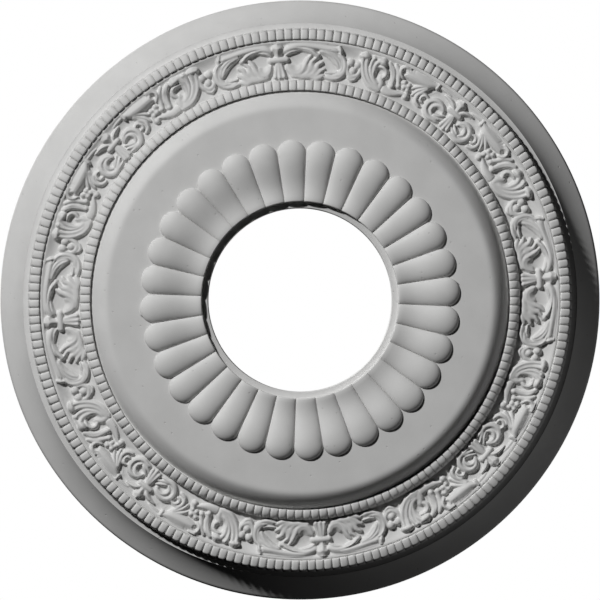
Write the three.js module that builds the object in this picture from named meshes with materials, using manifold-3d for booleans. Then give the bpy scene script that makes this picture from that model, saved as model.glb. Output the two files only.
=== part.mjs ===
// Ceiling rose: a round moulded medallion, cast in one piece and fixed flat against a ceiling.
// Millimetres, +Z up. The flat back lies on z = 0, its ornament faces down, and Z is its axis.
// Depths are measured down from the back, and angles run from -Y towards +X.

import * as THREE from 'three';
import Module from 'manifold-3d';

// Overall sizes
const OUTER_RADIUS = 262;
const BORE_RADIUS = 80;
const PLAIN_COLUMNS = 64;

// Sunk seat around the bore
const SEAT_RADIUS = 85.3;
const SEAT_DEPTH = 41.5;

// Gadroons
const GADROONS = 32;
const GADROON_TURN = THREE.MathUtils.degToRad(1.9);
const GADROON_COLUMNS = 4;
const GADROON_ROWS = [0, 0.3, 0.7, 0.92, 1];
const LIP_DEPTH = 48.7;
const WAIST_RADIUS = 96.2;
const WAIST_DEPTH = 48;
const CREST_RADIUS = 125;
const CREST_DEPTH = 52.8;
const TIP_CENTRE_RADIUS = 126.2;
const TIP_LENGTH = 12.2;
const INNER_CREASE = 2.6;
const OUTER_CREASE = 6;

// Plain disc with its rolled edge
const DISC_DEPTH = 46.8;
const ROLL = { from: [163.4, DISC_DEPTH], to: [181, 30.9], bulge: 3.4, steps: 3 };

// Bead rings: the profile at a bead's inner foot, crest and outer foot, and the notch beside it
const INNER_BEADS = { count: 164, inner: [182.2, 30.9], crest: [185.6, 37], notch: 34.3, outer: [191.6, 29.7] };
const OUTER_BEADS = { count: 204, inner: [226.6, 30.5], crest: [231.4, 34], notch: 31.3, outer: [236.8, 24.5] };

// Frieze band between the bead rings, and the thin fillet outside it
const FRIEZE_INNER_RADIUS = INNER_BEADS.outer[0];
const FRIEZE_DEPTH = INNER_BEADS.outer[1];
const FRIEZE_OUTER_RADIUS = 223.4;
const FRIEZE_MEAN_RADIUS = 207.6;
const FILLET = [224.6, 32.2];
const HALF_MOTIF = FRIEZE_MEAN_RADIUS * Math.PI / 4;
const HALF_SLIP = 1.6;
const ROOT = 1.6;
const BERRY_SIDES = 5;
const BERRY_SHOULDER = 0.72;

// Outer flat, cove and rim
const FLAT = [241, 24.4];
const RIM = [OUTER_RADIUS, 2.8];
const COVE = { from: FLAT, to: RIM, bulge: -1.4, steps: 3 };

const PRIMER_WHITE = 0xe9e8e5;

const wasm = await Module();
wasm.setup();

function place(angle, radius, depth) {
  return [radius * Math.sin(angle), -radius * Math.cos(angle), -depth];
}

// Profile points along a shallow curve that stands proud of its chord by the bulge.
function profileCurve({ from, to, bulge, steps }) {
  const run = to[0] - from[0];
  const drop = from[1] - to[1];
  const chord = Math.hypot(run, drop);
  return Array.from({ length: steps + 1 }, (_, step) => {
    const t = step / steps;
    const proud = bulge * 4 * t * (1 - t) / chord;
    return [from[0] + run * t + drop * proud, from[1] - drop * t + run * proud];
  });
}

// A ring is a loop of points around the axis, each with its angle.
function makeRing(count, turn, pointAt) {
  return Array.from({ length: count }, (_, column) => {
    const angle = turn + column * 2 * Math.PI / count;
    const [radius, depth] = pointAt(column);
    return { angle, position: place(angle, radius, depth) };
  });
}

function plainRing(point) {
  return makeRing(PLAIN_COLUMNS, 0, () => point);
}

// Three rings make a row of beads. The crest's columns lie in turn on a bead and in the notch beside it,
// and the columns at both feet lie at every second notch.
function beadRings({ count, inner, crest, notch, outer }) {
  const footRing = (point) => makeRing(count / 2, Math.PI / count, () => point);
  const crestRing = makeRing(2 * count, 0, (column) => [crest[0], column % 2 === 0 ? crest[1] : notch]);
  return [footRing(inner), crestRing, footRing(outer)];
}

// Depth along the back of a gadroon: a low waist near the bore, a full crest and a round tip.
function gadroonSpine(radius) {
  if (radius < WAIST_RADIUS) {
    const toBore = (WAIST_RADIUS - radius) / (WAIST_RADIUS - SEAT_RADIUS);
    return WAIST_DEPTH + (LIP_DEPTH - WAIST_DEPTH) * toBore ** 2;
  }
  if (radius < CREST_RADIUS) {
    const rise = THREE.MathUtils.smoothstep(radius, WAIST_RADIUS, CREST_RADIUS);
    return WAIST_DEPTH + (CREST_DEPTH - WAIST_DEPTH) * rise;
  }
  const toTip = (radius - CREST_RADIUS) / (TIP_CENTRE_RADIUS + TIP_LENGTH - CREST_RADIUS);
  return DISC_DEPTH + (CREST_DEPTH - DISC_DEPTH) * Math.sqrt(Math.max(0, 1 - toTip ** 2));
}

// One row of points across all the gadroons: row 0 is at the seat, row 1 is the scalloped outline.
function gadroonRing(row) {
  return makeRing(GADROONS * GADROON_COLUMNS, GADROON_TURN, (column) => {
    const across = 2 * (column % GADROON_COLUMNS) / GADROON_COLUMNS;
    const side = across <= 1 ? across : 2 - across;
    const round = Math.sqrt(1 - side ** 2);
    const tip = TIP_CENTRE_RADIUS + TIP_LENGTH * round;
    const radius = SEAT_RADIUS + (tip - SEAT_RADIUS) * row;
    const outward = (radius - SEAT_RADIUS) / (TIP_CENTRE_RADIUS - SEAT_RADIUS);
    const crease = THREE.MathUtils.lerp(INNER_CREASE, OUTER_CREASE, Math.min(1, outward));
    const depth = gadroonSpine(radius) - crease * (1 - round);
    return [radius, row === 1 ? DISC_DEPTH : depth];
  });
}

// All rings in order: down the bore, out across the face, and up the rim to the back.
function bodyRings() {
  return [
    plainRing([BORE_RADIUS, 0]),
    plainRing([BORE_RADIUS, SEAT_DEPTH]),
    plainRing([SEAT_RADIUS, SEAT_DEPTH]),
    ...GADROON_ROWS.map(gadroonRing),
    ...profileCurve(ROLL).map(plainRing),
    ...beadRings(INNER_BEADS),
    plainRing([FRIEZE_OUTER_RADIUS, FRIEZE_DEPTH]),
    plainRing(FILLET),
    ...beadRings(OUTER_BEADS),
    ...profileCurve(COVE).map(plainRing),
    plainRing([OUTER_RADIUS, 0]),
  ];
}

// Triangles between two rings with any numbers of columns, stepping along whichever lags behind.
function zipRings(inner, outer) {
  const triangles = [];
  const angleAt = (ring, step) => ring[step % ring.length].angle + 2 * Math.PI * Math.floor(step / ring.length);
  const at = (ring, step) => ring[step % ring.length].index;
  let i = 0;
  let j = 0;
  while (i < inner.length || j < outer.length) {
    const stepInner = i < inner.length
      && (j === outer.length || angleAt(inner, i + 1) <= angleAt(outer, j + 1));
    if (stepInner) {
      triangles.push(at(inner, i), at(inner, i + 1), at(outer, j));
      i += 1;
    } else {
      triangles.push(at(inner, i), at(outer, j + 1), at(outer, j));
      j += 1;
    }
  }
  return triangles;
}

function makeSolid(positions, triangles) {
  const mesh = new wasm.Mesh({
    numProp: 3,
    vertProperties: new Float32Array(positions.flat()),
    triVerts: new Uint32Array(triangles),
  });
  return new wasm.Manifold(mesh);
}

function makeBody() {
  const rings = bodyRings();
  const points = rings.flat();
  points.forEach((point, index) => {
    point.index = index;
  });
  const triangles = rings.flatMap((ring, index) => zipRings(ring, rings[(index + 1) % rings.length]));
  return makeSolid(points.map((point) => point.position), triangles);
}

// A place on the frieze: along is measured from the large fleuron of the quarter, in mm on the mean
// radius, across is measured out from the inner edge, and lift stands off the ground.
// The two halves of a motif are not quite equal, so places slip a little to one side.
function friezePlace({ quarter, side }, along, across, lift) {
  const slip = HALF_SLIP * Math.sin(2 * Math.PI * along / HALF_MOTIF);
  const angle = quarter * Math.PI / 2 + (side * along + slip) / FRIEZE_MEAN_RADIUS;
  return place(angle, FRIEZE_INNER_RADIUS + across, FRIEZE_DEPTH + lift);
}

// Mirrored copies turn their triangles over.
function orient(triangles, side) {
  return side < 0 ? triangles : triangles.reverse();
}

// A tapering ridge with a sharp back along stations of [along, across, half width, height].
function makeRidge(copy, stations) {
  const positions = [];
  const triangles = [];
  stations.forEach(([along, across, half, height], index) => {
    const before = stations[Math.max(0, index - 1)];
    const after = stations[Math.min(stations.length - 1, index + 1)];
    const heading = Math.atan2(after[1] - before[1], after[0] - before[0]);
    const offset = [-Math.sin(heading) * half, Math.cos(heading) * half];
    positions.push(
      friezePlace(copy, along + offset[0], across + offset[1], -ROOT),
      friezePlace(copy, along, across, height),
      friezePlace(copy, along - offset[0], across - offset[1], -ROOT),
    );
    if (index > 0) {
      const a = 3 * (index - 1);
      const b = 3 * index;
      for (const [from, to] of [[0, 1], [1, 2], [2, 0]]) {
        triangles.push(a + from, b + from, a + to, a + to, b + from, b + to);
      }
    }
  });
  const last = 3 * (stations.length - 1);
  triangles.push(0, 1, 2, last, last + 2, last + 1);
  return makeSolid(positions, orient(triangles, copy.side));
}

// A faceted ball sunk in the ground.
function makeBerry(copy, [along, across, radius, height]) {
  const positions = [friezePlace(copy, along, across, -ROOT), friezePlace(copy, along, across, height)];
  const triangles = [];
  for (let k = 0; k < BERRY_SIDES; k += 1) {
    const angle = 2 * Math.PI * k / BERRY_SIDES;
    const cos = Math.cos(angle) * radius;
    const sin = Math.sin(angle) * radius;
    positions.push(
      friezePlace(copy, along + cos, across + sin, -ROOT),
      friezePlace(copy, along + cos * BERRY_SHOULDER, across + sin * BERRY_SHOULDER, height * BERRY_SHOULDER),
    );
    const base = 2 + 2 * k;
    const next = 2 + 2 * ((k + 1) % BERRY_SIDES);
    triangles.push(0, base, next, base, base + 1, next, next, base + 1, next + 1, base + 1, 1, next + 1);
  }
  return makeSolid(positions, orient(triangles, copy.side));
}

// Large fleuron on the quarter's axis: hanging petals and a domed bud, bound by a collar.
function largeFleuron(copy) {
  return [
    makeRidge(copy, [[0, 0.4, 3.6, 2.6], [0, 5, 7.4, 5.6], [0, 17, 3.2, 3.6], [0, 27, 6.6, 5.8], [0, 32, 2.6, 3]]),
    makeRidge(copy, [[-8.5, 17.3, 3, 4.2], [8.5, 17.3, 3, 4.2]]),
  ];
}

// Small fleuron half way between two large ones: a ribbed fan and a bud, bound by a collar.
function smallFleuron(copy) {
  const axis = HALF_MOTIF;
  return [
    makeRidge(copy, [
      [axis, 0.6, 4.6, 2.6],
      [axis, 4, 7, 5],
      [axis, 17, 3, 3.4],
      [axis, 28, 6.4, 5.2],
      [axis, 32, 2.6, 3],
    ]),
    makeRidge(copy, [[axis - 6.5, 17.6, 3, 4.2], [axis + 6.5, 17.6, 3, 4.2]]),
  ];
}

// Ribbon, cupped leaf with two upright lobes, and curled leaf beside the large fleuron.
function ribbonAndLeaves(copy) {
  return [
    makeRidge(copy, [[6, 28, 1, 2.4], [30, 29.4, 2.6, 3.4], [52, 28, 3.8, 3.8]]),
    makeRidge(copy, [[7, 14, 2, 3], [16, 5, 6, 5], [39, 5.6, 1.8, 2.6]]),
    makeRidge(copy, [[19, 6, 2.4, 4], [24, 13, 5, 5.2], [28.4, 20.8, 1.4, 3]]),
    makeRidge(copy, [[27, 5, 2.6, 4], [32, 11, 4.6, 5], [37, 16.8, 1.4, 3]]),
    makeRidge(copy, [[37, 25, 1.6, 2.6], [51, 21, 4.6, 5], [55, 9, 4.6, 5], [40, 4, 1.6, 2.6]]),
  ];
}

// Berry cluster, and the great acanthus leaf with a drooping lobe and the horn that it grows from.
function berriesAndAcanthus(copy) {
  return [
    makeBerry(copy, [61.6, 18.4, 4.6, 4.6]),
    makeBerry(copy, [68.6, 18.4, 4.6, 4.6]),
    makeBerry(copy, [65, 11, 5.6, 4.8]),
    makeRidge(copy, [[72, 32, 1.8, 3.6], [77, 15, 5.2, 5.4], [93, 2.8, 2.6, 3.4]]),
    makeRidge(copy, [[82, 31, 1.8, 3.6], [84.4, 17, 4.6, 5], [92, 9, 2.2, 3.6]]),
    makeRidge(copy, [[92.6, 31.4, 1.8, 4], [99.4, 19.6, 5.4, 5], [105.6, 10, 2, 3]]),
    makeRidge(copy, [[95.6, 4.6, 4.6, 4.8], [119, 10, 1.6, 2.6]]),
  ];
}

// Bell flower with its berry, the small curl and the open scroll beside the small fleuron.
function bellAndScrolls(copy) {
  return [
    makeBerry(copy, [115.6, 15.4, 4.6, 4.4]),
    makeRidge(copy, [[107, 27.4, 4.6, 4.4], [117, 26.2, 6.6, 5.8], [139, 29.6, 2.2, 3.4]]),
    makeRidge(copy, [[127.6, 7, 1.6, 2.6], [133.4, 17.4, 3.8, 4.6]]),
    makeRidge(copy, [
      [155, 14.4, 2, 3],
      [147, 19, 3.2, 4.8],
      [139, 12, 3.4, 5],
      [144, 3.8, 3.4, 4.8],
      [155.4, 4.8, 2, 3],
    ]),
  ];
}

// The frieze: each quarter has two fleurons on its axes and two mirrored half motifs between them.
function makeOrnament() {
  const solids = [];
  for (let quarter = 0; quarter < 4; quarter += 1) {
    for (const side of [1, -1]) {
      const copy = { quarter, side };
      solids.push(...ribbonAndLeaves(copy), ...berriesAndAcanthus(copy), ...bellAndScrolls(copy));
    }
    const axisCopy = { quarter, side: 1 };
    solids.push(...largeFleuron(axisCopy), ...smallFleuron(axisCopy));
  }
  return solids;
}

function toGeometry(solid) {
  const mesh = solid.getMesh();
  const geometry = new THREE.BufferGeometry();
  geometry.setAttribute('position', new THREE.BufferAttribute(mesh.vertProperties, 3));
  geometry.setIndex(new THREE.BufferAttribute(mesh.triVerts, 1));
  geometry.computeVertexNormals();
  return geometry;
}

function makeCeilingRose() {
  const solid = makeOrnament().reduce((whole, piece) => whole.add(piece), makeBody());
  const material = new THREE.MeshStandardMaterial({ color: PRIMER_WHITE, roughness: 0.62, metalness: 0 });
  const rose = new THREE.Mesh(toGeometry(solid), material);
  rose.name = 'ceiling_rose';
  return rose;
}

const part = new THREE.Group();
part.add(makeCeilingRose());

export default part;
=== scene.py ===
import math

import bpy
import numpy as np
from mathutils import Matrix, Vector


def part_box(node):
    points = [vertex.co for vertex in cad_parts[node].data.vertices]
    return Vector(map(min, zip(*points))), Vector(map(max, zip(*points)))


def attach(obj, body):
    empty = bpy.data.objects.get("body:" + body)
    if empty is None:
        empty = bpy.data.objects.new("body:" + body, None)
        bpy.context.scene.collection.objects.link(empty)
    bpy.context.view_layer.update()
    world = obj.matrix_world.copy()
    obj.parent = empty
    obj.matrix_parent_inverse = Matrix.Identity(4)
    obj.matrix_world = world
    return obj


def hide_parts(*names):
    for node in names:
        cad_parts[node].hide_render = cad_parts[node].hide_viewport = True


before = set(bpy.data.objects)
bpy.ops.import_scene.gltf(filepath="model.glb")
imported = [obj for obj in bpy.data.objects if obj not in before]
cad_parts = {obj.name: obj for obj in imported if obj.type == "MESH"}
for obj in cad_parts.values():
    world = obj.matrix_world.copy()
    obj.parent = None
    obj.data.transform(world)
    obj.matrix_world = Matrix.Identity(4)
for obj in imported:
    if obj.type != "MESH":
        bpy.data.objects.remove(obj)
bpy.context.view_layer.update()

# Sizes in millimetres: radius from the axis, and depth below the ceiling plane
MM = 0.001
TURN = 2 * math.pi
OUTER_RADIUS = -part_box("ceiling_rose")[0][0] / MM
PLAIN_COLUMNS = 256
SHARP_ANGLE = math.radians(50)

# Bore and the sunk seat around it
BORE_RADIUS = 80.0
SEAT_RADIUS = 85.3
SEAT_DEPTH = 41.5
SEAT_CORNER = (0.8, 0.5)
EDGE_ROUND = 0.5
ROUND_STEPS = 4

# Gadroons: (radius, depth) at the lip, at the waist and at the crest of the spine, then the domed tip.
# The round of the lip is given outwards from the seat, and up from the depth of the lip.
GADROONS = 32
GADROON_TURN = math.radians(1.9)
GADROON_COLUMNS = 16
LIP = (86.5, 48.7)
LIP_ROUND = ((0, 1.6), (0.15, 0.75), (0.55, 0.2))
WAIST = (96.2, 48.0)
CREST = (125.0, 52.8)
SPINE_STEPS = 12
TIP_CENTRE = 126.2
TIP_LENGTH = 12.2
TIP_STEPS = 10
CREASE_GAP = 0.5
INNER_CREASE = 3.0
GADROON_FULLNESS = 0.52

# Plain disc, with the margins of its flat to the gadroons and to the roll, and its rolled edge,
# which runs from an inner to an outer radius
DISC_DEPTH = 46.8
DISC_MARGINS = (1.2, 8)
ROLL = (163.6, 181.7)
ROLL_TILT = math.radians(65)
ROLL_POWER = 0.7
ROLL_START = 0.42
ROLL_STEPS = 15

# Bead rings: a narrow seam, then a bead's section as (radius, depth). Towards the gap between two beads
# the section is cut back by the notch, and outside a radius it is drawn in.
INNER_BEADS = {
    "count": 164,
    "seam": ((181.9, 31.1), (182.2, 31.1)),
    "section": ((182.35, 33.5), (182.45, 35.9), (182.8, 36.7), (184.0, 37.0), (185.9, 36.8),
                (187.8, 36.2), (189.4, 35.1), (190.6, 33.4), (191.3, 31.3), (191.5, 30.1)),
    "notch": 2.6,
    "draw_in": 0.9,
    "drawn_outside": 185.9,
}
OUTER_BEADS = {
    "count": 204,
    "seam": ((226.0, 31.1), (226.4, 31.0)),
    "section": ((226.55, 32.2), (226.7, 33.2), (227.0, 33.8), (227.6, 34.0), (229.4, 34.0), (231.0, 33.85),
                (232.4, 33.55), (233.9, 33.1), (234.9, 32.7), (235.35, 31.8), (235.8, 28.6), (236.8, 24.1)),
    "notch": 2.6,
    "draw_in": 1.4,
    "drawn_outside": 229.4,
}
BEAD_COLUMNS = 8
BEAD_ROUNDNESS = 0.16
BEAD_FLATNESS = 16
CORNER_ROUNDNESS = 0.35
CORNER_FLATNESS = 6
BEAD_RISE = 1.6

# Frieze: four motifs, each of two mirrored halves, over a hollow ground. The ground is given by its
# most sunken place as (across, depth), and by the depths of its inner and outer edge.
MOTIFS = 4
FRIEZE_INNER = 191.6
BAND_WIDTH = 32.0
MEAN_RADIUS = FRIEZE_INNER + BAND_WIDTH / 2
HALF_MOTIF = MEAN_RADIUS * math.pi / MOTIFS
SLIP = 1.6
GROUND_LOW = (10.0, 27.4)
GROUND_EDGES = (28.8, 31.2)
GROUND_POWERS = (2, 5)
GRID_STEP = 0.4
HALF_MOTIF_TRIANGLES = 9400

# Relief of the frieze: the forms are drawn in plain heights and then given their final ones.
# The swell adds a share to the heights and the fall takes one off, each from a place across the band
# and over a width.
RIB_POWER = 0.8
BALL_POWER = 0.6
HOLLOW_POWER = 1
GROOVE_POWER = 2
GROOVE_SHARE = 0.6
CURVE_GAP = 0.35
DRAWN_HEIGHT = 3.6
FINAL_HEIGHT = 4.4
HEIGHT_POWER = 0.8
SWELL = {"share": 0.28, "start": 19, "width": 6}
FALL = {"share": 0.6, "start": 26, "width": 6}
PRIMER_SPREAD = 0.35
PRIMER_REACH = 3 * PRIMER_SPREAD

# Fillet, ledge, cove and rim. The round of the fillet is given in and up from its outer edge,
# and the tilts of the cove in degrees from the ledge to the rim.
FILLET = (223.6, 225.9)
FILLET_DEPTH = 31.6
FILLET_BEVEL = 0.4
FILLET_ROUND = ((0.5, 0), (0.1, 0.15), (0, 0.4))
LEDGE = (237.0, 240.6)
LEDGE_DEPTH = 23.9
LEDGE_ROUND = 0.1
COVE = (241.2, 260.3)
COVE_TILTS = (64, 53, 46, 42)
COVE_STEPS = 18
RIM_DEPTH = 5.0
RIM_ROUND = ((260.9, 4.4), (261.4, 3.6), (261.8, 2.5))

# White matt primer, with the scale of each pattern per metre and the depth of each bump in metres
PRIMER_LIGHT = (0.70, 0.698, 0.69, 1)
PRIMER_SHADE = (0.66, 0.658, 0.65, 1)
PRIMER_SPECULAR = 0.22
MOTTLE = {"scale": 38, "detail": 4, "range": (0.35, 0.65)}
ROUGHNESS = {"scale": 160, "detail": 2, "range": (0.3, 0.7), "values": (0.55, 0.71)}
GRAIN = {"scale": 900, "detail": 3, "strength": 0.35, "distance": 0.00012}
PINHOLES = {"scale": 210, "chosen": (0.90, 0.91), "size": (0.10, 0.17), "strength": 0.6, "distance": 0.0004}
# Painted shade in the pinholes: the colour they are darkened towards, and the share of it at their middles
PINHOLE_SHADE_COLOUR = (0.45, 0.445, 0.43, 1)
PINHOLE_SHADE_SHARE = 0.25

# Camera straight below the rose, turned a little about the axis. Distances are in metres,
# and the width of the sensor is in millimetres.
CAMERA_DISTANCE = 5.0
CAMERA_REACH = 100
PICTURE_TURN = math.radians(5.2)
FRAME_RADIUS = 0.2624
SENSOR_WIDTH = 36.0

# Light: a key lamp from one side below the ceiling, a weak low lamp from the other side,
# a soft sun on the back, and a dim surround. Distances are in metres.
KEY_BEARING = math.radians(316) + PICTURE_TURN
KEY_HEIGHT = math.radians(41.5)
KEY_DISTANCE = 1.7
KEY_SIZE = 0.05
KEY_POWER = 35.5
FILL_BEARING = math.radians(121) + PICTURE_TURN
FILL_DISTANCE = 0.8
FILL_DROP = 0.075
FILL_SIZE = 0.06
FILL_POWER = 0.92
BACK_DIRECTION = (0.45, -0.55, 0.9)
BACK_SPREAD = math.radians(30)
BACK_STRENGTH = 2.0
SURROUND = 0.003
FLOOR_LEVEL = -5.5
FLOOR_HALF = 60
FLOOR_COLOUR = (0.82, 0.82, 0.82, 1)
FLOOR_ROUGHNESS = 0.9


class Relief:
    """Heights over the ground of half a motif, on a grid in mm along and across the band."""

    def __init__(self):
        self.along = np.linspace(0, HALF_MOTIF, round(HALF_MOTIF / GRID_STEP) + 1)
        self.across = np.linspace(0, BAND_WIDTH, round(BAND_WIDTH / GRID_STEP) + 1)
        self.height = np.zeros((len(self.along), len(self.across)))

    def swept(self, points, widths, heights, power):
        """The part of the grid near a curve, and the height there of a rounded form swept along it."""
        reach = widths.max()
        low, high = points.min(axis=0) - reach, points.max(axis=0) + reach
        rows = slice(*np.searchsorted(self.along, (low[0], high[0])))
        columns = slice(*np.searchsorted(self.across, (low[1], high[1])))
        along = self.along[rows, None]
        across = self.across[None, columns]
        form = np.zeros((along.size, across.size))
        for (u, v), width, height in zip(points, widths, heights):
            edge = 1 - ((along - u) ** 2 + (across - v) ** 2) / width ** 2
            np.maximum(form, height * np.maximum(edge, 0) ** power, out=form)
        return (rows, columns), form

    def stroke(self, points, widths, heights, power=RIB_POWER):
        """A rounded rib along a smooth curve through the points, fuller where the power is lower."""
        part, form = self.swept(*smooth_curve(points, widths, heights), power)
        self.height[part] = np.maximum(self.height[part], form)

    def carve(self, points, widths, depths):
        """A soft groove along a smooth curve through the points."""
        part, form = self.swept(*smooth_curve(points, widths, depths), GROOVE_POWER)
        self.height[part] = np.maximum(self.height[part] - GROOVE_SHARE * form, 0)

    def ball(self, u, v, radius, height):
        part, form = self.swept(np.array([[u, v]]), np.array([radius]), np.array([height]), BALL_POWER)
        self.height[part] = np.maximum(self.height[part], form)

    def hollow(self, u, v, radius, depth):
        part, form = self.swept(np.array([[u, v]]), np.array([radius]), np.array([depth]), HOLLOW_POWER)
        self.height[part] = np.maximum(self.height[part] - form, 0)

    def steepen(self):
        """Raises the relief so that its edges stand up steeply from the ground."""
        self.height = FINAL_HEIGHT * np.clip(self.height / DRAWN_HEIGHT, 0, None) ** HEIGHT_POWER

    def lean(self):
        """Makes the relief bolder in the outer half of the band and lower again at the outer edge."""
        swell, fall = (change["share"] * smooth((self.across - change["start"]) / change["width"])
                       for change in (SWELL, FALL))
        self.height *= 1 + swell - fall

    def soften(self):
        """Blurs the relief a little, as a coat of primer does."""
        reach = int(PRIMER_REACH / GRID_STEP) + 1
        weight = np.exp(-0.5 * (np.arange(-reach, reach + 1) * GRID_STEP / PRIMER_SPREAD) ** 2)
        weight /= weight.sum()
        for axis in (0, 1):
            rows = np.moveaxis(self.height, axis, 0)
            padded = np.concatenate([rows[reach:0:-1], rows, rows[-2:-reach - 2:-1]])
            rows[:] = sum(share * padded[k:k + len(rows)] for k, share in enumerate(weight))


def smooth(share):
    """A share from 0 to 1 that starts and ends gently."""
    share = np.clip(share, 0, 1)
    return share * share * (3 - 2 * share)


def smooth_curve(points, widths, heights):
    """Closely spaced points on a Catmull-Rom curve, with the width and height at each."""
    knots = np.array(points, float)
    knots = np.vstack([2 * knots[0] - knots[1], knots, 2 * knots[-1] - knots[-2]])
    pieces, shares = [], []
    spans = len(points) - 1
    for k in range(spans):
        a, b, c, d = knots[k:k + 4]
        count = max(2, int(np.linalg.norm(c - b) / CURVE_GAP) + 1)
        t = np.linspace(0, 1, count, endpoint=(k == spans - 1))[:, None]
        pieces.append(0.5 * (2 * b + (c - a) * t + (2 * a - 5 * b + 4 * c - d) * t ** 2
                             + (3 * b - a - 3 * c + d) * t ** 3))
        shares.append((k + t[:, 0]) / spans)
    share = np.concatenate(shares)
    spread = [np.interp(share, np.linspace(0, 1, len(values)), values) for values in (widths, heights)]
    return np.vstack(pieces), *spread


def spiral(centre, start, turns, radii, count):
    """Points of a spiral that starts at an angle in degrees and goes from one radius to another."""
    share = np.linspace(0, 1, count)
    angle = np.radians(start) + TURN * turns * share
    radius = radii[0] + (radii[1] - radii[0]) * share
    return np.column_stack([centre[0] + radius * np.cos(angle), centre[1] + radius * np.sin(angle)])


# Forms of half a motif, at (along, across): from the axis of the large fleuron, and from the inner edge
def large_fleuron(relief):
    # round bud on a neck, with a ridge between two hollows
    relief.stroke([(0, 20), (0, 24)], widths=(2.4, 3.6), heights=(2.6, 2.8))
    relief.ball(0, 27.4, radius=5.2, height=4.6)
    relief.stroke([(0, 22), (0, 27), (0, 31)], widths=(1.5, 1.8, 1.5), heights=(3.0, 4.8, 4.4))
    relief.hollow(2.7, 25.6, radius=2.0, depth=1.3)
    # inner petals with round ends
    relief.stroke([(0, 14), (0, 8.6), (0, 5.6)],
                  widths=(3.4, 4.8, 5.0), heights=(2.6, 2.9, 2.7), power=0.4)
    relief.stroke([(0, 14), (0, 8.6), (0, 3.4)], widths=(1.5, 2.0, 2.3), heights=(2.8, 3.2, 3.3))
    relief.stroke([(2.2, 13.4), (3.2, 8.6), (4.0, 4.0)], widths=(1.5, 1.9, 2.2), heights=(2.7, 3.1, 3.3))
    relief.ball(0, 2.8, radius=2.3, height=3.4)
    relief.ball(4.1, 3.4, radius=2.3, height=3.5)
    # band
    relief.stroke([(0, 17.6), (6.6, 17.6)], widths=(3.1, 2.9), heights=(3.8, 3.6), power=0.6)


def small_fleuron(relief):
    axis = HALF_MOTIF
    # round bud on a neck, with a ridge between two hollows
    relief.stroke([(axis, 20.5), (axis, 25)], widths=(2.4, 3.2), heights=(2.6, 2.8))
    relief.ball(axis, 27.6, radius=4.6, height=4.6)
    relief.stroke([(axis, 23), (axis, 27.4), (axis, 31)], widths=(1.4, 1.7, 1.4), heights=(3.0, 4.8, 4.4))
    relief.hollow(axis - 2.4, 25.8, radius=1.7, depth=1.2)
    # thin leaf beside the bud
    relief.stroke([(axis - 3, 21.4), (axis - 5.4, 23.8), (axis - 9, 25.6), (axis - 14.6, 26.6)],
                  widths=(1.8, 2.4, 2.0, 0.9), heights=(2.4, 3.2, 2.8, 1.4))
    relief.carve([(axis - 4, 21.6), (axis - 7, 23.8), (axis - 12, 25.6)],
                 widths=(0.8, 0.9, 0.7), depths=(0.4, 0.7, 0.3))
    # inner petals with round ends
    relief.stroke([(axis, 15), (axis, 9), (axis, 5.8)],
                  widths=(3.0, 4.2, 4.4), heights=(2.6, 2.8, 2.6), power=0.4)
    relief.stroke([(axis, 15), (axis, 9), (axis, 3.4)], widths=(1.4, 1.8, 2.0), heights=(2.7, 3.1, 3.2))
    relief.stroke([(axis - 1.9, 14.4), (axis - 2.8, 9.2), (axis - 3.6, 4.4)],
                  widths=(1.4, 1.7, 2.0), heights=(2.6, 3.0, 3.2))
    relief.ball(axis, 2.8, radius=2.1, height=3.3)
    relief.ball(axis - 3.7, 3.8, radius=2.1, height=3.4)
    # band
    relief.stroke([(axis - 5.4, 19), (axis, 19)], widths=(2.6, 2.9), heights=(3.4, 3.8), power=0.6)


def ribbon(relief):
    relief.stroke([(6.4, 25.2), (10.6, 27.6), (17, 28.9), (25, 29.2), (33, 28.6), (41, 27.8),
                   (47.4, 27.6)],
                  widths=(2.8, 3.2, 2.9, 2.6, 2.6, 2.7, 3.0),
                  heights=(2.4, 3.0, 3.0, 2.8, 2.7, 2.7, 3.0), power=0.6)
    relief.stroke([(9, 29.6), (26, 30), (46, 29.6)], widths=(2.2, 2.4, 2.4), heights=(0.8, 1.0, 1.0))
    relief.stroke([(49.6, 30.6), (50.8, 28.2), (51.8, 25.6)],
                  widths=(1.7, 2.2, 1.5), heights=(2.8, 3.5, 2.8))
    relief.hollow(48.2, 28.2, radius=1.5, depth=0.8)
    # small blade beside the fleuron
    relief.stroke([(6.6, 21.6), (9.4, 23.6), (13, 24.8), (17.4, 25.4)],
                  widths=(1.5, 1.9, 1.7, 0.9), heights=(2.2, 2.7, 2.4, 1.4))
    # blade that hangs from the ribbon and ends in a hook
    relief.stroke([(17, 27.2), (23, 26.2), (28, 24.2), (31.6, 21.4)],
                  widths=(1.8, 2.8, 2.8, 2.0), heights=(2.5, 3.2, 3.4, 3.4))
    relief.ball(32.4, 21.2, radius=2.5, height=3.4)
    grooves = (
        ((15, 28.4), (22, 27.8), (29, 25.6), (32, 23.6)),
        ((17.6, 26.6), (23.4, 25.4), (28.6, 22.8)),
    )
    for groove in grooves:
        relief.carve(groove, widths=(0.8, 1.1, 1.1, 0.7), depths=(0.8, 1.5, 1.5, 0.8))


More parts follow.
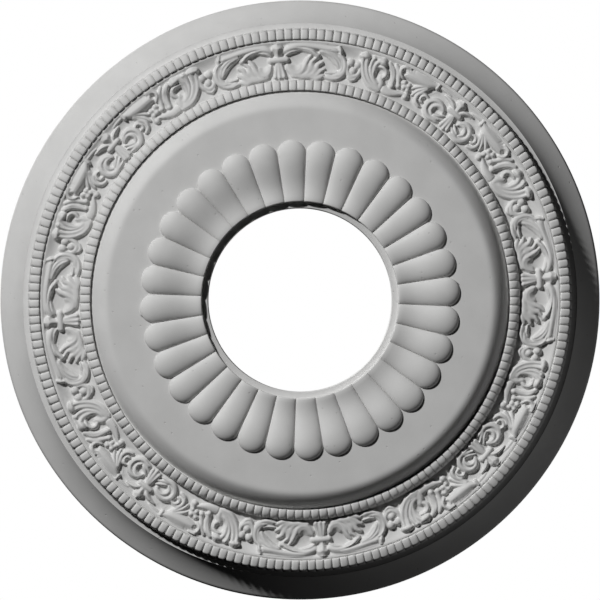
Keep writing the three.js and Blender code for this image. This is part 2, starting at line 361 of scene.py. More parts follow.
def cupped_leaf(relief):
    # round bowl at the root, then the body and its lobes
    relief.stroke([(8.6, 10.4), (13, 8.4), (18, 8.4)],
                  widths=(3.4, 5.6, 5.4), heights=(2.2, 2.9, 2.9), power=0.6)
    relief.stroke([(12, 4.4), (20, 3.8), (28, 4.6), (34, 4.4)],
                  widths=(2.8, 3.4, 4.0, 3.2), heights=(2.6, 3.0, 3.1, 2.8), power=0.5)
    relief.stroke([(22, 9), (26, 10), (30, 9), (34, 7)],
                  widths=(5.2, 5.6, 5.2, 3.8), heights=(2.9, 3.1, 3.1, 2.8), power=0.5)
    relief.stroke([(7.4, 12.6), (10, 7.2), (15, 5.2), (19.6, 7.4), (22, 12), (24, 17), (26.4, 20.6)],
                  widths=(1.8, 2.6, 3.0, 3.2, 3.0, 2.6, 1.5), heights=(2.4, 3.0, 3.2, 3.4, 3.5, 3.3, 2.4))
    lobes = (
        ((20, 3.6), (25, 7), (27, 12), (27.6, 15.6), (31, 18.8)),
        ((24.6, 3.2), (29.6, 6.6), (32, 11), (33, 13.6), (36.4, 15.8)),
        ((28.6, 2.8), (33, 5.2), (35.4, 8.2), (38.8, 10)),
        ((31, 2.2), (35, 3.0), (38.8, 4.8)),
    )
    for lobe in lobes:
        relief.stroke(lobe, widths=(2.6, 3.0, 2.7, 1.4), heights=(2.8, 3.1, 3.1, 2.6), power=0.5)
    relief.hollow(14.2, 11.8, radius=4.0, depth=1.7)
    grooves = (
        ((14, 2.6), (19.6, 4.2), (23.6, 8.2), (25.2, 13), (27.4, 18.4)),
        ((20, 2.2), (25.8, 4.8), (29.4, 9.6), (30.8, 14), (33.6, 17)),
        ((26, 2.0), (31.4, 5.0), (34.4, 9), (37.4, 12.4)),
        ((30, 1.8), (34.6, 4.2), (38.6, 7.4)),
    )
    for groove in grooves:
        relief.carve(groove, widths=(0.8, 1.1, 1.2, 1.1), depths=(0.2, 0.4, 0.6, 0.9))


def curled_leaf(relief):
    # ribbed blade, then the crescent that closes the leaf around a deep bowl
    relief.stroke([(35.4, 25.4), (42, 23.6), (48.4, 19.6), (51.8, 15)],
                  widths=(2.2, 3.6, 4.4, 3.6), heights=(2.4, 2.9, 3.1, 2.9), power=0.6)
    relief.stroke([(51.6, 23.6), (55.2, 19), (56, 13), (54, 7.6), (49, 4.6), (43, 4.2)],
                  widths=(2.2, 2.8, 3.2, 3.8, 3.8, 3.0), heights=(2.6, 3.1, 3.3, 3.4, 3.2, 2.8),
                  power=0.6)
    relief.stroke([(46, 25.4), (52, 23.8), (56.2, 19.6), (57.8, 14), (56.6, 8), (52, 4), (46, 2.6),
                   (39.6, 3.4)],
                  widths=(1.1, 1.7, 1.9, 2.0, 2.2, 2.2, 2.2, 1.4),
                  heights=(2.0, 2.8, 3.0, 3.1, 3.2, 3.1, 3.1, 2.6))
    relief.stroke([(49.6, 8.6), (44.6, 7.0), (40.2, 7.4)],
                  widths=(2.2, 2.1, 1.2), heights=(3.0, 3.0, 2.4))
    relief.hollow(47.4, 11.4, radius=4.2, depth=2.4)
    grooves = (
        ((48, 24.6), (53, 21.6), (55.2, 17), (55.4, 11.4), (52.4, 7.4)),
        ((38, 25.4), (45, 22.8), (50.4, 18.4), (52.6, 13.4)),
        ((36.8, 24), (43, 21.2), (48.4, 16.6)),
        ((54, 5.4), (48, 4.6), (41, 5.2)),
        ((52, 9), (47, 6.2), (42, 6.2)),
    )
    for groove in grooves:
        relief.carve(groove, widths=(0.7, 1.1, 1.2, 0.9), depths=(0.6, 1.4, 1.4, 0.8))


def berry_cluster(relief):
    relief.stroke([(59.4, 17.8), (60.2, 11), (65.2, 7.4), (70.6, 11), (71.4, 17.8)],
                  widths=(1.6, 2.4, 3.0, 2.4, 1.6), heights=(2.4, 2.8, 2.9, 2.8, 2.4), power=0.6)
    relief.stroke([(61.6, 6.4), (65.2, 4.6), (69, 6.4)], widths=(1.4, 1.9, 1.4), heights=(2.4, 2.7, 2.4))
    relief.carve([(60.4, 9.6), (65.2, 5.8), (70.2, 9.6)], widths=(0.8, 1.1, 0.8), depths=(0.6, 0.9, 0.6))
    for u, v in ((61.8, 19.4), (68.4, 18.8), (65.2, 12.8)):
        relief.ball(u, v, radius=3.8, height=3.9)


def great_leaf(relief):
    # body, and the ribs that sweep round a deep scoop
    relief.stroke([(73.4, 27), (74.6, 20), (78.4, 12), (84.4, 6.6), (92, 4.4)],
                  widths=(3.4, 4.4, 5.0, 4.8, 3.8), heights=(2.8, 3.0, 3.1, 3.0, 2.8), power=0.5)
    relief.stroke([(84.6, 27), (82.6, 20), (83.6, 13), (88.6, 8)],
                  widths=(4.0, 4.2, 4.4, 4.2), heights=(2.8, 3.0, 3.0, 2.9), power=0.5)
    relief.stroke([(90, 12.4), (93.4, 9.6), (94.4, 6)],
                  widths=(4.4, 3.6, 3.4), heights=(2.6, 2.7, 2.7), power=0.6)
    ribs = (
        ((71.4, 28), (72.2, 21), (75, 13), (80.4, 6.6), (87, 3.6), (94.6, 3.0)),
        ((75.4, 29), (76, 21.4), (78.6, 14.4), (83.4, 8.6), (90, 5.6)),
        ((80.6, 28.4), (79.8, 21.6), (81.4, 15.2), (85.6, 10.2)),
        ((88.4, 28.8), (84.6, 24.4), (83.4, 18.4), (84.8, 12.8), (88, 9.4)),
    )
    for rib in ribs:
        relief.stroke(rib, widths=(2.2, 2.5, 2.7, 2.5, 1.6), heights=(3.2, 3.3, 3.2, 3.1, 2.7))
    relief.carve([(92, 19.4), (89.6, 19), (87.8, 16), (88.8, 12.6), (92.4, 10.2)],
                 widths=(2.2, 3.2, 3.8, 3.4, 1.8), depths=(3.0, 5.2, 4.8, 3.0, 0.6))
    grooves = (
        ((73.4, 27), (74, 20.6), (77, 13), (82, 7.4), (89, 4.6)),
        ((78, 28), (77.8, 21), (80, 14.4), (84.4, 9), (90, 6.8)),
        ((83.8, 27.4), (81.8, 22), (82.4, 16), (85.8, 10.8)),
    )
    for groove in grooves:
        relief.carve(groove, widths=(1.1, 1.3, 1.2, 0.8), depths=(1.2, 0.9, 0.6, 0.2))
    # rolled tips near the outer edge
    relief.stroke([(70.6, 27.4), (73.4, 28.2), (76.2, 28)],
                  widths=(2.8, 3.4, 2.2), heights=(4.4, 5.0, 3.8), power=0.6)
    relief.ball(81.2, 28.2, radius=2.4, height=4.2)
    relief.stroke([(86.6, 27.8), (89.6, 27.4), (91.8, 26.2)],
                  widths=(2.6, 4.0, 2.6), heights=(4.2, 5.2, 4.2), power=0.6)
    # curl beside the scoop
    relief.stroke([(87.6, 22.6), (91.4, 22.8), (94.6, 20.8), (95.4, 17.4), (93.6, 14.6)],
                  widths=(1.5, 1.9, 2.2, 2.3, 2.0), heights=(3.2, 3.5, 3.4, 3.0, 2.5))


def drooping_lobes(relief):
    relief.stroke([(95.4, 28), (100, 23.6), (102.6, 17.4), (103.4, 12)],
                  widths=(2.2, 3.0, 2.8, 2.4), heights=(2.7, 3.0, 2.9, 2.9), power=0.5)
    relief.stroke([(101, 29), (105.2, 24), (107.4, 18.4), (109, 14)],
                  widths=(1.6, 2.5, 2.3, 2.0), heights=(2.4, 2.7, 2.7, 2.8), power=0.5)
    relief.carve([(96.4, 28), (100.6, 22.4), (102.8, 15.6)],
                 widths=(0.7, 1.0, 0.8), depths=(0.6, 1.0, 0.6))
    relief.ball(103.8, 10.8, radius=3.0, height=3.7)
    relief.ball(109.6, 13.2, radius=2.7, height=3.5)


def horn(relief):
    relief.stroke([(97.8, 5.2), (104, 5.0), (110.4, 6.4), (116.6, 9)],
                  widths=(3.8, 3.6, 2.7, 1.3), heights=(2.7, 2.7, 2.6, 2.2), power=0.45)
    relief.carve([(96, 0.6), (95.8, 5), (97, 9)], widths=(0.9, 1.1, 0.9), depths=(1.0, 1.2, 0.8))


def small_berries(relief):
    relief.stroke([(112, 17.4), (116, 16), (119, 12.6), (119.6, 8.6)],
                  widths=(2.2, 2.8, 2.6, 2.4), heights=(2.3, 2.5, 2.4, 2.3))
    berries = (
        (113.6, 18.2, 2.5),
        (118.2, 17.2, 2.6),
        (114.6, 13.6, 2.6),
        (118.6, 12.8, 2.4),
        (119.4, 7.6, 3.2),
    )
    for u, v, radius in berries:
        relief.ball(u, v, radius=radius, height=3.5)


def bell_flower(relief):
    relief.stroke([(113, 26.6), (120, 26.2), (127, 26.2), (132.4, 27), (138, 29.4)],
                  widths=(4.6, 5.4, 5.6, 4.4, 1.8), heights=(3.0, 3.5, 3.6, 3.4, 2.6), power=0.5)
    relief.stroke([(114, 29.6), (122, 29.8), (132, 29.8)],
                  widths=(2.4, 2.4, 2.2), heights=(1.2, 1.3, 1.2))
    # frilled mouth
    relief.stroke([(113.4, 31), (109, 30.6), (106.6, 27.8), (107, 24.2), (110, 21.4)],
                  widths=(1.6, 2.2, 1.9, 2.0, 1.7), heights=(3.2, 3.7, 3.5, 3.5, 3.0))
    relief.hollow(110.4, 26.4, radius=2.4, depth=2.0)
    for u in (112.4, 115, 117.4):
        relief.carve([(u, 32), (u + 0.5, 29.8), (u + 2, 27.6)],
                     widths=(0.8, 0.9, 0.6), depths=(1.1, 1.2, 0.4))
    # folds of the skirt, towards the inner edge
    folds = (
        ((131.6, 24), (125, 19.6), (121.4, 16.4)),
        ((132.4, 23), (127, 17), (124.2, 11.6)),
        ((133.2, 22.6), (130, 17.6), (127.6, 12.4)),
    )
    for fold in folds:
        relief.stroke(fold, widths=(2.2, 2.4, 1.5), heights=(2.9, 2.9, 2.2))
    grooves = (
        ((130, 24), (123.6, 21.4), (118.6, 20.4)),
        ((131.4, 22.8), (126, 18.4), (122.4, 14.4)),
        ((132.4, 21.8), (128.6, 17.2), (126, 12)),
    )
    for groove in grooves:
        relief.carve(groove, widths=(0.7, 1.0, 0.9), depths=(0.5, 1.0, 0.8))
    relief.stroke([(139.6, 27.4), (139.8, 30.6)], widths=(1.7, 1.7), heights=(3.3, 3.0))
    relief.stroke([(142.6, 29.8), (148, 29.6), (152, 28.8)],
                  widths=(1.4, 1.2, 0.8), heights=(1.2, 1.0, 0.8))


def scrolls(relief):
    # small scroll
    relief.stroke([(134, 18), (130, 16.4), (128.4, 12), (130, 8), (134, 6)],
                  widths=(1.4, 2.2, 2.4, 2.3, 1.6), heights=(2.4, 3.0, 3.2, 3.0, 2.4), power=0.6)
    relief.stroke([(138.4, 15.8), (135.2, 16.8), (132.4, 14.4), (132.6, 11.2), (135, 10.4)],
                  widths=(1.3, 1.8, 1.9, 1.8, 1.5), heights=(2.6, 3.2, 3.2, 3.0, 3.1))
    relief.carve([(132.6, 17), (130.6, 13.6), (131, 9.6), (134, 7.8)],
                 widths=(0.7, 1.0, 1.0, 0.7), depths=(0.6, 1.2, 1.2, 0.6))
    # large scroll: a ribbed C around a leafy curl
    centre = (147.4, 11)
    relief.stroke(spiral(centre, start=18, turns=0.84, radii=(7.4, 8.0), count=16),
                  widths=(1.6, 2.6, 3.2, 3.1, 2.2), heights=(2.6, 3.2, 3.4, 3.2, 2.6), power=0.6)
    relief.stroke([(152.8, 14.6), (149, 15.8), (145.4, 13.4), (144.6, 9.6), (147, 6.6)],
                  widths=(1.7, 2.3, 2.4, 2.2, 1.6), heights=(2.8, 3.2, 3.2, 3.0, 2.6))
    relief.carve(spiral(centre, start=30, turns=0.66, radii=(6.0, 6.0), count=16),
                 widths=(0.7, 1.1, 1.2, 0.9), depths=(0.5, 1.2, 1.3, 0.7))
    relief.carve(spiral(centre, start=90, turns=0.5, radii=(8.4, 8.6), count=12),
                 widths=(0.6, 0.9, 0.7), depths=(0.3, 0.6, 0.3))
    relief.hollow(149.6, 10.6, radius=2.9, depth=2.8)
    leaves = (
        ((149.4, 6.8), (153, 8.6), (157, 11.2)),
        ((149, 4.6), (153.6, 6), (158, 8)),
        ((150, 3), (156, 3.4)),
    )
    for leaf in leaves:
        relief.stroke(leaf, widths=(1.7, 1.9, 1.1), heights=(2.8, 3.0, 2.2))


def half_motif():
    """The relief from the axis of a large fleuron to the axis of a small one."""
    relief = Relief()
    for draw in (ribbon, cupped_leaf, curled_leaf, berry_cluster, great_leaf, drooping_lobes, horn,
                 small_berries, bell_flower, scrolls, large_fleuron, small_fleuron):
        draw(relief)
    relief.steepen()
    relief.lean()
    relief.soften()
    return relief


class Skin:
    """Collects the points and faces of the casting's closed skin, in millimetres."""

    def __init__(self):
        self.points = []
        self.faces = []
        self.count = 0

    def add(self, angle, radius, depth):
        """Adds points and returns their numbers."""
        angle, radius, depth = np.broadcast_arrays(angle, radius, depth)
        self.points.append(np.column_stack([radius * np.sin(angle), -radius * np.cos(angle), -depth]))
        start = self.count
        self.count += len(angle)
        return np.arange(start, self.count)

    def ring(self, angles, radius, depth):
        """Adds a ring of points and returns their numbers and angles."""
        return self.add(angles, radius, depth), angles

    def plain_rings(self, points):
        """Adds a round ring for each (radius, depth)."""
        return [self.ring(ring_angles(PLAIN_COLUMNS), radius, depth) for radius, depth in points]

    def join(self, rings):
        """Joins each ring to the next."""
        for first, second in zip(rings, rings[1:]):
            self.stitch(first, second)

    def stitch(self, first, second):
        """Joins two rings, each given as (point numbers, angles in rising order)."""
        (a, angles_a), (b, angles_b) = first, second
        if len(a) == len(b) and np.allclose(angles_a, angles_b):
            self.faces += np.column_stack([a, np.roll(a, -1), np.roll(b, -1), b]).tolist()
        else:
            self.stitch_unlike(first, second)

    def stitch_unlike(self, first, second):
        """Joins two rings with unlike angles by triangles, going round both at once."""
        (a, angles_a), (b, angles_b) = first, second
        nearest = int(np.argmin(np.abs(angles_b - angles_a[0])))
        b = np.roll(b, -nearest)
        angles_b = np.roll(angles_b, -nearest)
        angles_b = angles_a[0] + (angles_b - angles_a[0] + math.pi) % TURN - math.pi
        angles_b = np.where(np.arange(len(b)) * 2 > len(b), angles_b % TURN, angles_b)
        next_a = np.append(angles_a[1:], angles_a[0] + TURN)
        next_b = np.append(angles_b[1:], angles_b[0] + TURN)
        i = j = 0
        while i < len(a) or j < len(b):
            here, there = int(a[i % len(a)]), int(b[j % len(b)])
            if j >= len(b) or (i < len(a) and next_a[i] <= next_b[j]):
                i += 1
                self.faces.append([here, int(a[i % len(a)]), there])
            else:
                j += 1
                self.faces.append([here, int(b[j % len(b)]), there])


def ring_angles(columns):
    return np.arange(columns) * (TURN / columns)


def places_across(columns):
    """Places from one side of a repeat, -1, towards its other side, 1, closer together at the sides."""
    return np.sin(np.linspace(-math.pi / 2, math.pi / 2, columns, endpoint=False))


def rounded_step(low, high):
    """Points of a quarter round from one (radius, depth) to another, level at the second."""
    turn = np.linspace(0, math.pi / 2, ROUND_STEPS)
    radius = low[0] + (high[0] - low[0]) * (1 - np.cos(turn))
    depth = low[1] + (high[1] - low[1]) * np.sin(turn)
    return list(zip(radius, depth))


def tilted_run(radii, tangents, depth):
    """(radius, depth) points of a surface that gets less deep outwards, by a slope at each radius."""
    drops = np.diff(radii) * (tangents[1:] + tangents[:-1]) / 2
    return list(zip(radii, depth - np.concatenate([[0], np.cumsum(drops)])))


def bore_rings(skin):
    """The wall of the bore, and the seat around its lower end."""
    points = [(BORE_RADIUS + EDGE_ROUND, 0), (BORE_RADIUS, EDGE_ROUND)]
    points += rounded_step((BORE_RADIUS, SEAT_DEPTH - EDGE_ROUND), (BORE_RADIUS + EDGE_ROUND, SEAT_DEPTH))
    points += [(SEAT_RADIUS - SEAT_CORNER[0], SEAT_DEPTH), (SEAT_RADIUS, SEAT_DEPTH + SEAT_CORNER[1])]
    return skin.plain_rings(points)


def spine_depth(radius):
    """Depth along the spine of a gadroon."""
    falling = WAIST[1] + (LIP[1] - WAIST[1]) * ((WAIST[0] - radius) / (WAIST[0] - LIP[0])) ** 2
    rising = WAIST[1] + (CREST[1] - WAIST[1]) * smooth((radius - WAIST[0]) / (CREST[0] - WAIST[0]))
    return falling if radius < WAIST[0] else rising


def gadroon_rings(skin):
    """The gadroons: the rounded lip around the seat, the spine, and the domed tip on the disc."""
    across = places_across(GADROON_COLUMNS)
    centres = GADROON_TURN + ring_angles(GADROONS)
    angles = (centres[:, None] + across * math.pi / GADROONS).ravel()
    section = np.tile(1 - across ** 2, GADROONS)
    fall = 1 - section ** GADROON_FULLNESS
    lip = [(SEAT_RADIUS + outwards, upwards) for outwards, upwards in LIP_ROUND] + [(LIP[0], 0)]
    rings = [skin.ring(angles, radius, LIP[1] - upwards - INNER_CREASE * fall) for radius, upwards in lip]
    tip_crease = spine_depth(TIP_CENTRE) - DISC_DEPTH
    for share in np.linspace(0, 1, SPINE_STEPS)[1:]:
        radius = LIP[0] + (TIP_CENTRE - LIP[0]) * share
        crease = INNER_CREASE + (tip_crease - INNER_CREASE) * share
        rings.append(skin.ring(angles, radius, spine_depth(radius) - crease * fall))
    for share in np.sin(np.linspace(0, math.pi / 2, TIP_STEPS))[1:]:
        radius = TIP_CENTRE + (CREASE_GAP + TIP_LENGTH * np.sqrt(section)) * share
        dome = np.maximum(section * (1 - share ** 2), 0) ** GADROON_FULLNESS
        rings.append(skin.ring(angles, radius, DISC_DEPTH + tip_crease * dome))
    return rings


def disc_rings(skin):
    """The flat of the disc, and its rolled edge."""
    flat = [(TIP_CENTRE + TIP_LENGTH + DISC_MARGINS[0], DISC_DEPTH), (ROLL[0] - DISC_MARGINS[1], DISC_DEPTH)]
    steps = np.linspace(0, 1, ROLL_STEPS)
    radii = ROLL[0] + (ROLL[1] - ROLL[0]) * steps
    tilts = ROLL_TILT * steps ** ROLL_POWER * smooth(steps / ROLL_START)
    return skin.plain_rings(flat + tilted_run(radii, np.tan(tilts), DISC_DEPTH))


def rise_to_sides(across, roundness, flatness):
    """A share that is 0 in the middle of a bead and 1 at its sides."""
    return roundness * across ** 2 + (1 - roundness) * np.abs(across) ** flatness


def bead_rings(skin, beads):
    """A ring of beads, with the seam inside it."""
    across = places_across(BEAD_COLUMNS)
    half = math.pi / beads["count"]
    angles = ((ring_angles(beads["count"]) + half)[:, None] + across * half).ravel()
    gap = np.tile(rise_to_sides(across, BEAD_ROUNDNESS, BEAD_FLATNESS), beads["count"])
    corner = np.tile(rise_to_sides(across, CORNER_ROUNDNESS, CORNER_FLATNESS), beads["count"])
    rings = skin.plain_rings(beads["seam"])
    crown = max(depth for radius, depth in beads["section"])
    foot = beads["section"][-1][1]
    for radius, depth in beads["section"]:
        raised = smooth((depth - foot) / (crown - foot) * BEAD_RISE)
        drawn_in = beads["draw_in"] * corner * raised * (radius > beads["drawn_outside"])
        rings.append(skin.ring(angles, radius - drawn_in, depth - beads["notch"] * gap * raised))
    return rings


def ground_depth(across):
    """The hollow ground of the frieze, at a distance from its inner edge."""
    low, depth = GROUND_LOW
    inside = (GROUND_EDGES[0] - depth) * (1 - across / low) ** GROUND_POWERS[0]
    outside = (GROUND_EDGES[1] - depth) * ((across - low) / (BAND_WIDTH - low)) ** GROUND_POWERS[1]
    return depth + np.where(across < low, inside, outside)


def half_motif_mesh():
    """Points (along, across, height) and triangles of half a motif, thinned where it is smooth."""
    relief = half_motif()
    along, across = np.meshgrid(relief.along, relief.across, indexing="ij")
    points = np.column_stack([along.ravel(), across.ravel(), relief.height.ravel()])
    number = np.arange(along.size).reshape(along.shape)
    quads = np.column_stack([number[:-1, :-1].ravel(), number[1:, :-1].ravel(),
                             number[1:, 1:].ravel(), number[:-1, 1:].ravel()])
    points, triangles = thinned(points, quads, HALF_MOTIF_TRIANGLES)
    near = GRID_STEP / 3
    for axis, limit in ((0, 0.0), (0, HALF_MOTIF), (1, 0.0), (1, BAND_WIDTH)):
        points[np.abs(points[:, axis] - limit) < near, axis] = limit
    return points, triangles


def thinned(points, quads, count):
    """The points and triangles of a surface, brought down to a count of triangles."""
    mesh = bpy.data.meshes.new("half_motif")
    mesh.from_pydata(points.tolist(), [], quads.tolist())
    scratch = bpy.data.objects.new("half_motif", mesh)
    bpy.context.scene.collection.objects.link(scratch)
    thin = scratch.modifiers.new("thin", "DECIMATE")
    thin.ratio = count / (2 * len(quads))
    thin.use_collapse_triangulate = True
    result = scratch.evaluated_get(bpy.context.evaluated_depsgraph_get()).to_mesh()
    corners = np.empty(len(result.vertices) * 3)
    result.vertices.foreach_get("co", corners)
    triangles = np.array([list(face.vertices) for face in result.polygons])
    bpy.data.objects.remove(scratch)
    bpy.data.meshes.remove(mesh)
    return corners.reshape(-1, 3), triangles


def frieze_borders(skin):
    """Adds the frieze and returns its inner and outer border as rings."""
    points, triangles = half_motif_mesh()
    along, across, height = points.T
    starts, ends = along == 0, along == HALF_MOTIF
    slip = SLIP * np.sin(TURN * along / HALF_MOTIF)
    shared = {}
    inner, outer = [], []
    for motif in range(MOTIFS):
        for side in (1, -1):
            angle = (motif * TURN / MOTIFS + (side * along + slip) / MEAN_RADIUS) % TURN
            numbers = skin.add(angle, FRIEZE_INNER + across, ground_depth(across) + height)
            large = ("large", motif)
            small = ("small", (motif if side > 0 else motif - 1) % MOTIFS)
            for fleuron, border in ((large, starts), (small, ends)):
                numbers[border] = shared.setdefault(fleuron, numbers[border])
            skin.faces += numbers[triangles if side > 0 else triangles[:, ::-1]].tolist()
            for ring, chosen in ((inner, across == 0), (outer, across == BAND_WIDTH)):
                ring += list(zip(angle[chosen], numbers[chosen]))
    return sorted_ring(inner), sorted_ring(outer)


def sorted_ring(border):
    """A ring in order of angle, each point once."""
    angle_of = {}
    for angle, number in border:
        angle_of.setdefault(int(number), angle)
    numbers = sorted(angle_of, key=angle_of.get)
    return np.array(numbers), np.array([angle_of[number] for number in numbers])


def fillet_rings(skin):
    """The thin fillet outside the frieze."""
    inner, outer = FILLET
    points = [(inner, FILLET_DEPTH - FILLET_BEVEL), (inner + FILLET_BEVEL, FILLET_DEPTH)]
    points += [(outer - inwards, FILLET_DEPTH - upwards) for inwards, upwards in FILLET_ROUND]
    return skin.plain_rings(points)


def rim_rings(skin):
    """The ledge outside the outer beads, the cove, and the thin edge of the rim."""
    steps = np.linspace(0, 1, COVE_STEPS)
    radii = COVE[0] + (COVE[1] - COVE[0]) * steps
    tilts = np.interp(steps, np.linspace(0, 1, len(COVE_TILTS)), COVE_TILTS)
    cove = tilted_run(radii, np.tan(np.radians(tilts)), 0)
    scale = (LEDGE_DEPTH - RIM_DEPTH) / -cove[-1][1]
    points = [(LEDGE[0], LEDGE_DEPTH), (LEDGE[1], LEDGE_DEPTH)]
    points.append(((LEDGE[1] + COVE[0]) / 2, LEDGE_DEPTH - LEDGE_ROUND))
    points += [(radius, LEDGE_DEPTH + depth * scale) for radius, depth in cove]
    points += [*RIM_ROUND, (OUTER_RADIUS, EDGE_ROUND), (OUTER_RADIUS - EDGE_ROUND, 0)]
    return skin.plain_rings(points)


def casting_skin():
    """The skin from the bore out to the rim, closed across the flat back."""
    skin = Skin()
    inside = bore_rings(skin) + gadroon_rings(skin) + disc_rings(skin) + bead_rings(skin, INNER_BEADS)
    frieze_inner, frieze_outer = frieze_borders(skin)
    outside = fillet_rings(skin) + bead_rings(skin, OUTER_BEADS) + rim_rings(skin)
    skin.join(inside + [frieze_inner])
    skin.join([frieze_outer] + outside)
    skin.stitch(outside[-1], inside[0])
    return skin


def make_casting(material):
    skin = casting_skin()
    points = np.concatenate(skin.points) * MM
    used = np.unique(np.concatenate([np.ravel(face) for face in skin.faces]))
    renumber = np.zeros(len(points), int)
    renumber[used] = np.arange(len(used))
    faces = [renumber[face].tolist() for face in skin.faces]
    mesh = bpy.data.meshes.new("ceiling_rose_casting")
    mesh.from_pydata(points[used].tolist(), [], faces)
    mesh.materials.append(material)
    mesh.polygons.foreach_set("use_smooth", np.ones(len(mesh.polygons), bool))
    mesh.set_sharp_from_angle(angle=SHARP_ANGLE)
    casting = bpy.data.objects.new("ceiling_rose_casting", mesh)
    bpy.context.scene.collection.objects.link(casting)
    return casting


class Coat:
    """The nodes of a material that is patterned over the object's own coordinates."""

    def __init__(self, name):
        self.material = bpy.data.materials.new(name)
        self.material.use_nodes = True
        self.nodes, self.links = self.material.node_tree.nodes, self.material.node_tree.links
        self.shader = self.nodes["Principled BSDF"]
        self.place = self.nodes.new("ShaderNodeTexCoord").outputs["Object"]

    def noise(self, pattern):
        node = self.nodes.new("ShaderNodeTexNoise")
        node.inputs["Scale"].default_value = pattern["scale"]
        node.inputs["Detail"].default_value = pattern["detail"]
        self.links.new(self.place, node.inputs["Vector"])
        return node.outputs["Fac"]

    def remap(self, value, source, target):
        """A value taken from one range to another."""
        node = self.nodes.new("ShaderNodeMapRange")
        for name, number in zip(("From Min", "From Max", "To Min", "To Max"), (*source, *target)):
            node.inputs[name].default_value = number
        self.links.new(value, node.inputs["Value"])
        return node.outputs["Result"]

    def tint(self, factor, colour):
        """A node that mixes its first colour with a given one."""
        node = self.nodes.new("ShaderNodeMix")
        node.data_type = "RGBA"
        self.links.new(factor, node.inputs["Factor"])
        node.inputs["B"].default_value = colour
        return node

    def bump(self, height, pattern):
        node = self.nodes.new("ShaderNodeBump")
        node.inputs["Strength"].default_value = pattern["strength"]
        node.inputs["Distance"].default_value = pattern["distance"]
        self.links.new(height, node.inputs["Height"])
        return node

    def pinholes(self):
        """1 in the middle of the few small cells with a strong enough random red, and 0 elsewhere."""
        cells = self.nodes.new("ShaderNodeTexVoronoi")
        cells.inputs["Scale"].default_value = PINHOLES["scale"]
        self.links.new(self.place, cells.inputs["Vector"])
        colour = self.nodes.new("ShaderNodeSeparateColor")
        self.links.new(cells.outputs["Color"], colour.inputs["Color"])
        both = self.nodes.new("ShaderNodeMath")
        both.operation = "MULTIPLY"
        self.links.new(self.remap(colour.outputs["Red"], PINHOLES["chosen"], (0, 1)), both.inputs[0])
        self.links.new(self.remap(cells.outputs["Distance"], PINHOLES["size"], (1, 0)), both.inputs[1])
        return both.outputs["Value"]


def primer_material():
    """White matt primer: faint mottling, fine sprayed grain, and a few pinholes that are bumped in and
    darkened with painted shade.
    """
    coat = Coat("primed_casting")
    inputs, link = coat.shader.inputs, coat.links.new
    pits = coat.pinholes()
    mottle = coat.tint(coat.remap(coat.noise(MOTTLE), MOTTLE["range"], (0, 1)), PRIMER_SHADE)
    mottle.inputs["A"].default_value = PRIMER_LIGHT
    # painted shade: the middles of the pinholes are darkened in colour, standing in for the shade inside
    # them
    shaded_pinholes = coat.tint(coat.remap(pits, (0, 1), (0, PINHOLE_SHADE_SHARE)), PINHOLE_SHADE_COLOUR)
    link(mottle.outputs["Result"], shaded_pinholes.inputs["A"])
    link(shaded_pinholes.outputs["Result"], inputs["Base Color"])
    link(coat.remap(coat.noise(ROUGHNESS), ROUGHNESS["range"], ROUGHNESS["values"]), inputs["Roughness"])
    inputs["Specular IOR Level"].default_value = PRIMER_SPECULAR
    grain = coat.bump(coat.noise(GRAIN), GRAIN)
    holes = coat.bump(pits, PINHOLES)
    holes.invert = True
    link(grain.outputs["Normal"], holes.inputs["Normal"])
    link(holes.outputs["Normal"], inputs["Normal"])
    return coat.material


def make_camera():
    data = bpy.data.cameras.new("camera")
    data.sensor_width = SENSOR_WIDTH
    data.lens = SENSOR_WIDTH / 2 * CAMERA_DISTANCE / FRAME_RADIUS
    data.clip_end = CAMERA_REACH
    camera = bpy.data.objects.new("camera", data)
    up = Vector((math.cos(PICTURE_TURN), math.sin(PICTURE_TURN), 0))
    right = Vector((-math.sin(PICTURE_TURN), math.cos(PICTURE_TURN), 0))
    back = Vector((0, 0, -1))
    facing = Matrix((right, up, back)).transposed().to_4x4()
    camera.matrix_world = Matrix.Translation((0, 0, -CAMERA_DISTANCE)) @ facing
    bpy.context.scene.collection.objects.link(camera)
    bpy.context.scene.camera = camera


def add_light(name, kind, power):
    light = bpy.data.objects.new(name, bpy.data.lights.new(name, kind))
    light.data.energy = power
    bpy.context.scene.collection.objects.link(light)
    return light


def add_lamp(name, bearing, distance, drop, power, size):
    """A round lamp at a bearing and a level distance from the axis, below the ceiling plane."""
    lamp = add_light(name, "POINT", power)
    lamp.data.shadow_soft_size = size
    lamp.location = distance * math.cos(bearing), distance * math.sin(bearing), -drop
    return lamp


def even_out(lamp):
    """Gives a lamp the same strength at every distance."""
    lamp.data.use_nodes = True
    nodes, links = lamp.data.node_tree.nodes, lamp.data.node_tree.links
    falloff = nodes.new("ShaderNodeLightFalloff")
    falloff.inputs["Strength"].default_value = 1
    links.new(falloff.outputs["Constant"], nodes["Emission"].inputs["Strength"])


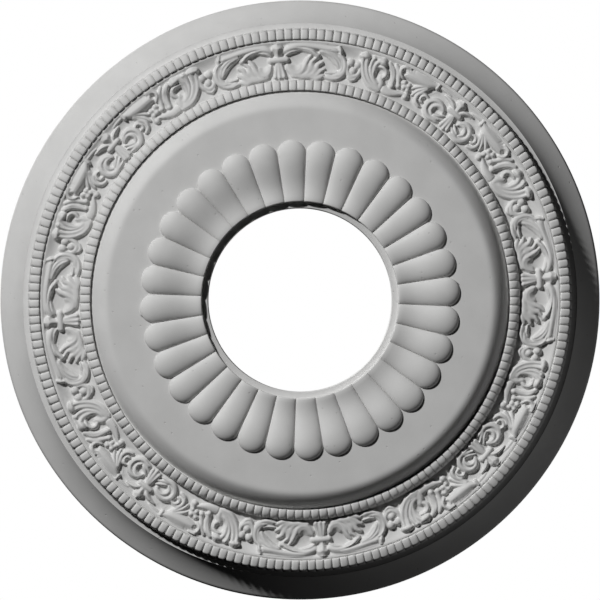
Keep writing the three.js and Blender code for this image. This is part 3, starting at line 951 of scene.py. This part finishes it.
def make_lights():
    level = KEY_DISTANCE * math.cos(KEY_HEIGHT)
    drop = KEY_DISTANCE * math.sin(KEY_HEIGHT)
    even_out(add_lamp("key", KEY_BEARING, level, drop, KEY_POWER, KEY_SIZE))
    add_lamp("fill", FILL_BEARING, FILL_DISTANCE, FILL_DROP, FILL_POWER, FILL_SIZE)
    back_light = add_light("back_light", "SUN", BACK_STRENGTH)
    back_light.data.angle = BACK_SPREAD
    back_light.rotation_euler = Vector(BACK_DIRECTION).to_track_quat("Z", "Y").to_euler()


def make_surround():
    """White behind the object, and a dim even light all round."""
    world = bpy.data.worlds.new("surround")
    bpy.context.scene.world = world
    world.use_nodes = True
    nodes, links = world.node_tree.nodes, world.node_tree.links
    background = nodes["Background"]
    path = nodes.new("ShaderNodeLightPath")
    level = nodes.new("ShaderNodeMapRange")
    links.new(path.outputs["Is Camera Ray"], level.inputs["Value"])
    level.inputs["To Min"].default_value = SURROUND
    level.inputs["To Max"].default_value = 1.0
    background.inputs["Color"].default_value = (1, 1, 1, 1)
    links.new(level.outputs["Result"], background.inputs["Strength"])


def floor_material():
    material = bpy.data.materials.new("floor")
    material.use_nodes = True
    shader = material.node_tree.nodes["Principled BSDF"]
    shader.inputs["Base Color"].default_value = FLOOR_COLOUR
    shader.inputs["Roughness"].default_value = FLOOR_ROUGHNESS
    return material


def make_floor():
    """A pale floor far below, which the camera sees but which throws no light on the rose."""
    mesh = bpy.data.meshes.new("floor")
    signs = ((-1, -1), (1, -1), (1, 1), (-1, 1))
    corners = [(x * FLOOR_HALF, y * FLOOR_HALF, FLOOR_LEVEL) for x, y in signs]
    mesh.from_pydata(corners, [], [(0, 1, 2, 3)])
    mesh.materials.append(floor_material())
    floor = bpy.data.objects.new("floor", mesh)
    floor.visible_diffuse = False
    floor.visible_glossy = False
    floor.visible_shadow = False
    bpy.context.scene.collection.objects.link(floor)


bpy.context.scene.view_settings.view_transform = "Standard"
make_camera()
make_lights()
make_surround()
make_floor()
casting = make_casting(primer_material())
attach(casting, "root")
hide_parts("ceiling_rose")
